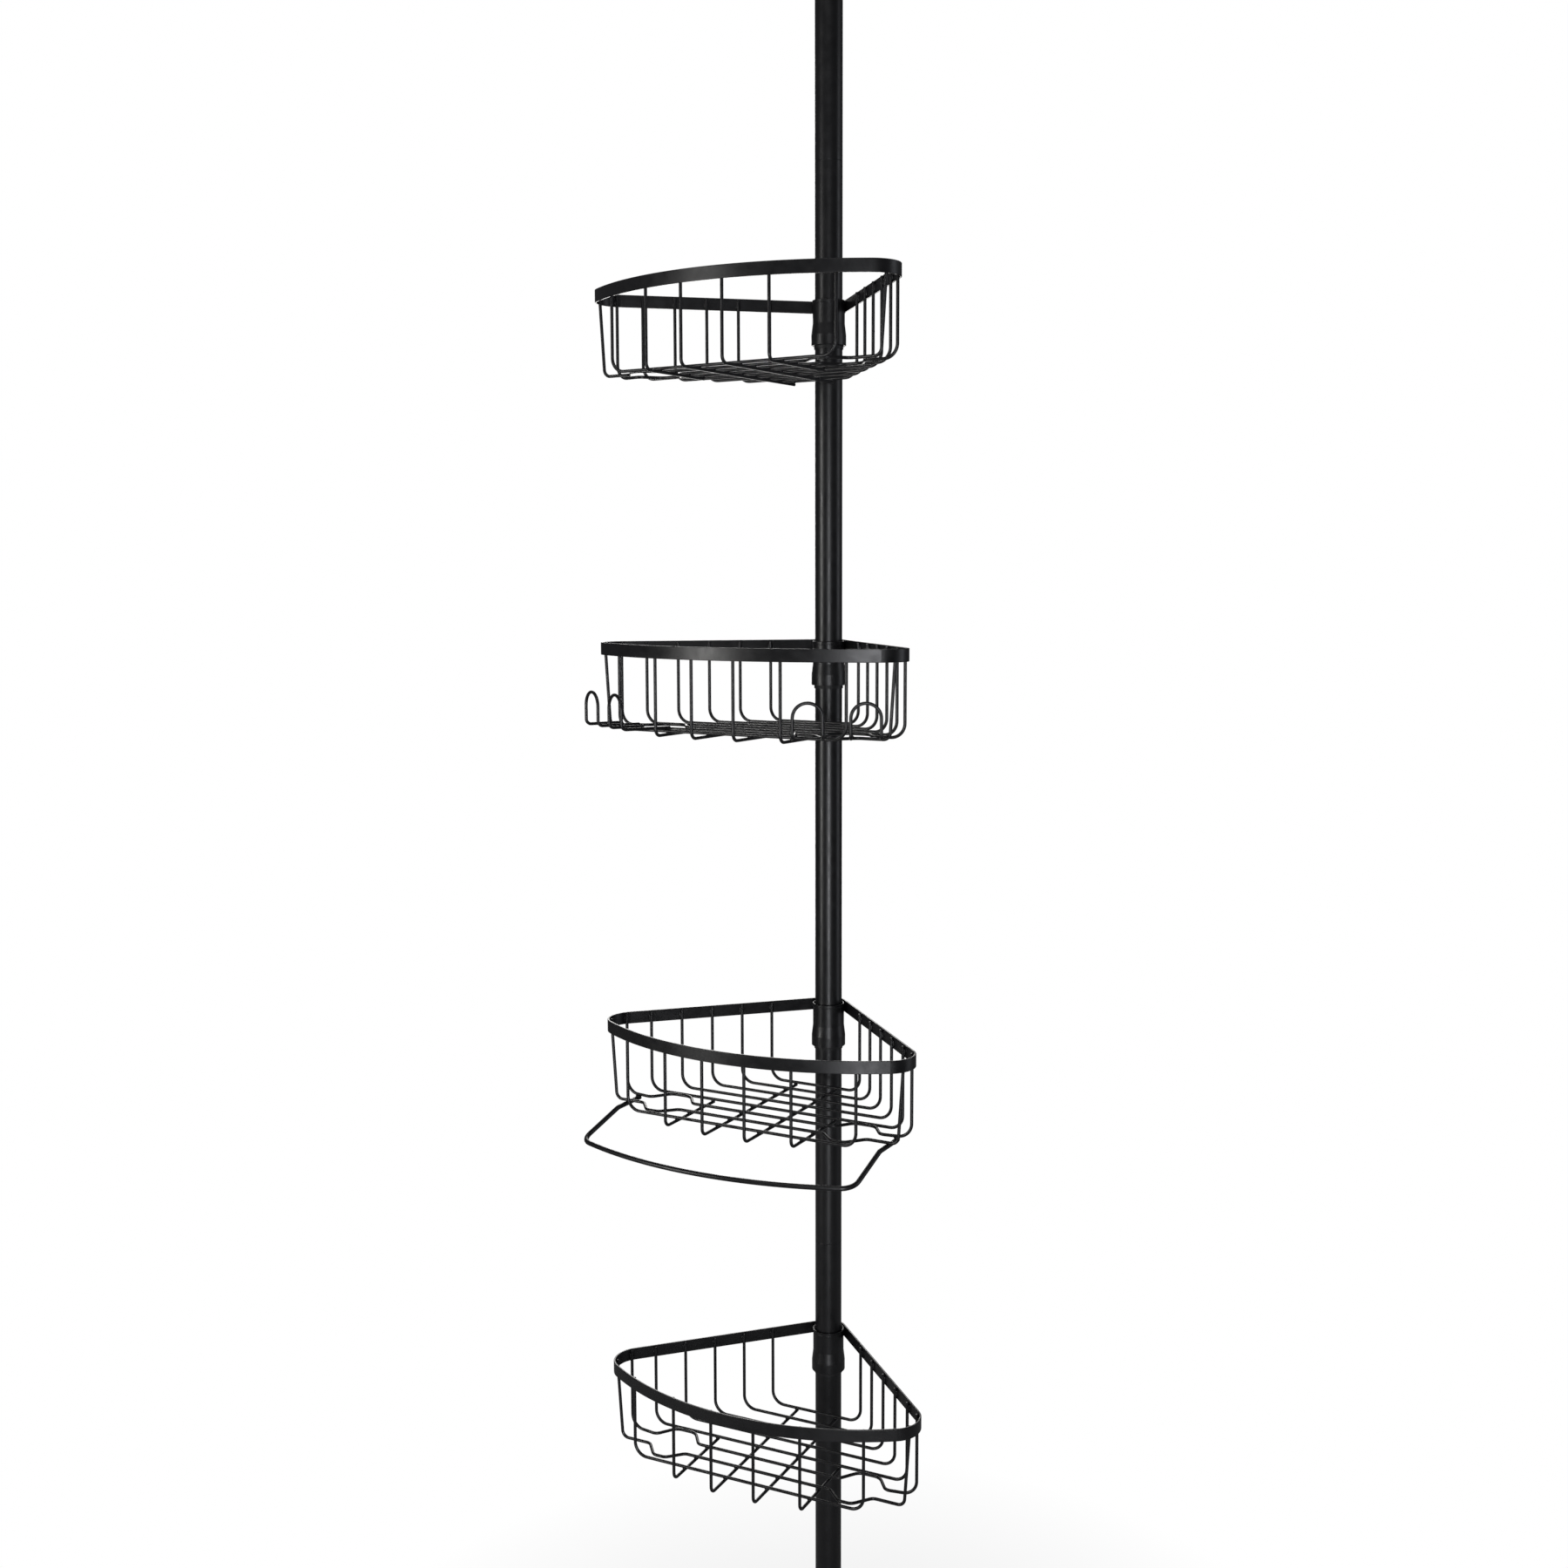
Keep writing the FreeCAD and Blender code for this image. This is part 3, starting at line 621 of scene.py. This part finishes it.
def sleeve_rim():
    """The rolled edges of the lip round the top of the sleeve."""
    bm = bmesh.new()
    round_edge(bm, SLEEVE_LIP_R, -SLEEVE_TOP_DROP, LIP_TOP_EDGE)
    round_edge(bm, SLEEVE_LIP_R, -SLEEVE_TOP_DROP - SLEEVE_LIP_HEIGHT, LIP_LOW_EDGE)
    return bm


def flat_patch(face, seen):
    """The faces that lie flat with a face and are joined to it; their numbers are added to seen."""
    patch, queue = [], [face]
    seen.add(face.index)
    while queue:
        here = queue.pop()
        patch.append(here)
        for other in (f for edge in here.edges for f in edge.link_faces):
            if other.index not in seen and other.normal.dot(face.normal) > SAME_FACING:
                seen.add(other.index)
                queue.append(other)
    return patch


def cut_ends(node):
    """Middle, outward direction and radius, in millimetres, of each flat round end of a node's rods."""
    bm = bmesh.new()
    bm.from_mesh(frame["nodes"][node].data)
    bmesh.ops.remove_doubles(bm, verts=bm.verts, dist=JOIN_DISTANCE)
    ends = []
    seen = set()
    for face in bm.faces:
        if face.index in seen:
            continue
        corners = {v.index: v.co.copy() for f in flat_patch(face, seen) for v in f.verts}
        if len(corners) < END_CORNERS:
            continue
        middle = sum(corners.values(), Vector()) / len(corners)
        radii = [(c - middle).length for c in corners.values()]
        if max(radii) - min(radii) < END_UNROUND * max(radii):
            ends.append((middle / MM, face.normal.copy(), max(radii) / MM))
    bm.free()
    return ends


def rod_ends(node, weld_back, weld_side):
    """Rounded ends on a node's cut rods, each with the weld that holds it to the wire it lies along.

    The weld's middle is weld_back from the cut, above the rod where weld_side is 1, and below it at -1.
    """
    bm = bmesh.new()
    across, along, above = ROD_WELD_SIZE
    for seed, (middle, way, radius) in enumerate(cut_ends(node)):
        dome(bm, middle, way, radius, END_DOME)
        aside = way.cross(UP).normalized()
        spot = middle - way * weld_back + UP * (weld_side * radius)
        lump(bm, spot, [aside * across, way * along, UP * above], seed)
    return bm


def tube_shoulders():
    """The rounded ends of the pole's tubes, except the lowest, which is inside the floor foot."""
    bm = bmesh.new()
    pitch = TUBE_LENGTH + SPIGOT_RIB
    ends = [FOOT_SOLE + i * pitch + run for i in range(TUBE_COUNT) for run in (0, TUBE_LENGTH)]
    for height in ends[1:]:
        round_edge(bm, POLE_R, height, TUBE_EDGE)
    return bm


def pin_heads():
    """The riveted heads of the pin that holds the spring's seat."""
    low, high = (corner / MM for corner in map(Vector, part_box("seat_pin")))
    middle = (low + high) / 2
    radius = (high.z - low.z) / 2
    bm = bmesh.new()
    for s in (-1, 1):
        dome(bm, Vector((s * high.x, middle.y, middle.z)), Vector((s, 0, 0)), radius, PIN_HEAD)
    return bm


def spring_coil():
    """The pole's spring as one mesh."""
    bm = bmesh.new()
    steps = SPRING_TURNS * SPRING_STEPS
    rise = SPRING_LENGTH - 2 * SPRING_WIRE_R
    rings = []
    for k in range(steps + 1):
        a = 2 * math.pi * k / SPRING_STEPS
        out = Vector((math.cos(a), math.sin(a), 0))
        centre = out * SPRING_R + UP * (SPRING_SEAT + SPRING_WIRE_R + rise * k / steps)
        rings.append(ring_of(bm, centre, out, UP, SPRING_WIRE_R, SPRING_SIDES))
    join_rings(bm, rings)
    bm.faces.new(rings[0])
    bm.faces.new(rings[-1][::-1])
    return bm


def foot_grip(node, inner_r, sole_up):
    """Grip ribs round a rubber foot: rings on its collar and short ribs on the edge of its sole."""
    low, high = (corner / MM for corner in map(Vector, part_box(node)))
    sole_r = (high.x - low.x) / 2
    sole, collar_edge, up = (high.z, low.z, -1) if sole_up else (low.z, high.z, 1)
    bm = bmesh.new()
    for i in range(COLLAR_RIB_COUNT):
        height = collar_edge - up * (COLLAR_RIB_START + COLLAR_RIB_PITCH * i)
        round_edge(bm, inner_r + FOOT_COLLAR_WALL, height, COLLAR_RIB)
    rises = [SOLE_RIB_START + SOLE_RIB_LENGTH * i / SOLE_RIB_STEPS for i in range(SOLE_RIB_STEPS + 1)]
    for k in range(SOLE_RIB_COUNT):
        a = 2 * math.pi * k / SOLE_RIB_COUNT
        edge = Vector((math.cos(a), math.sin(a), 0)) * (sole_r - SOLE_RIB_INSET)
        bead(bm, [edge + UP * (sole + up * rise) for rise in rises], SOLE_RIB_R, k, SOLE_RIB_SIDES)
    return bm


# ---- what is put on the part ----

def dress_basket(number):
    """Adds one basket's welds, wire ends and rolled edges."""
    yaw, height = BASKET_YAW[number - 1], RIM_TOP[number - 1]
    for build in (rim_welds, crossing_welds, wire_ends, sleeve_welds, sleeve_rim):
        name = "%s_%d" % (build.__name__, number)
        add_piece(name, build(), "basket_%d" % number, "black_coating", yaw, height)


def dress_cad():
    """Gives every CAD node the finish of its slot in the record."""
    for row in frame["record"]["subparts"]:
        node = frame["nodes"][row["node"]]
        node.data.materials.clear()
        node.data.materials.append(finishes[row["material_slot"]])


def add_spring():
    """Puts a spring with a mesh of its own in place of the CAD one."""
    coil = add_piece("spring_coil", spring_coil(), "pole", "bare_steel")
    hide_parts("pole_spring")
    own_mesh(coil)


make_camera()
make_lights()
make_floor()
dress_cad()
for number in range(1, len(RIM_TOP) + 1):
    dress_basket(number)
add_piece("hook_ends", rod_ends("hooks", HOOK_WELD_BACK, -1), "basket_2", "black_coating")
add_piece("bar_ends", rod_ends("towel_bar", BAR_WELD_BACK, 1), "basket_3", "black_coating")
add_piece("tube_shoulders", tube_shoulders(), "pole", "black_coating")
add_piece("pin_heads", pin_heads(), "pole", "bare_steel")
add_spring()
add_piece("floor_foot_grip", foot_grip("floor_foot", POLE_R, False), "pole", "black_rubber")
add_piece("ceiling_foot_grip", foot_grip("ceiling_foot", PLUNGER_R, True), "plunger", "black_rubber")

bpy.context.scene.view_settings.view_transform = "Standard"
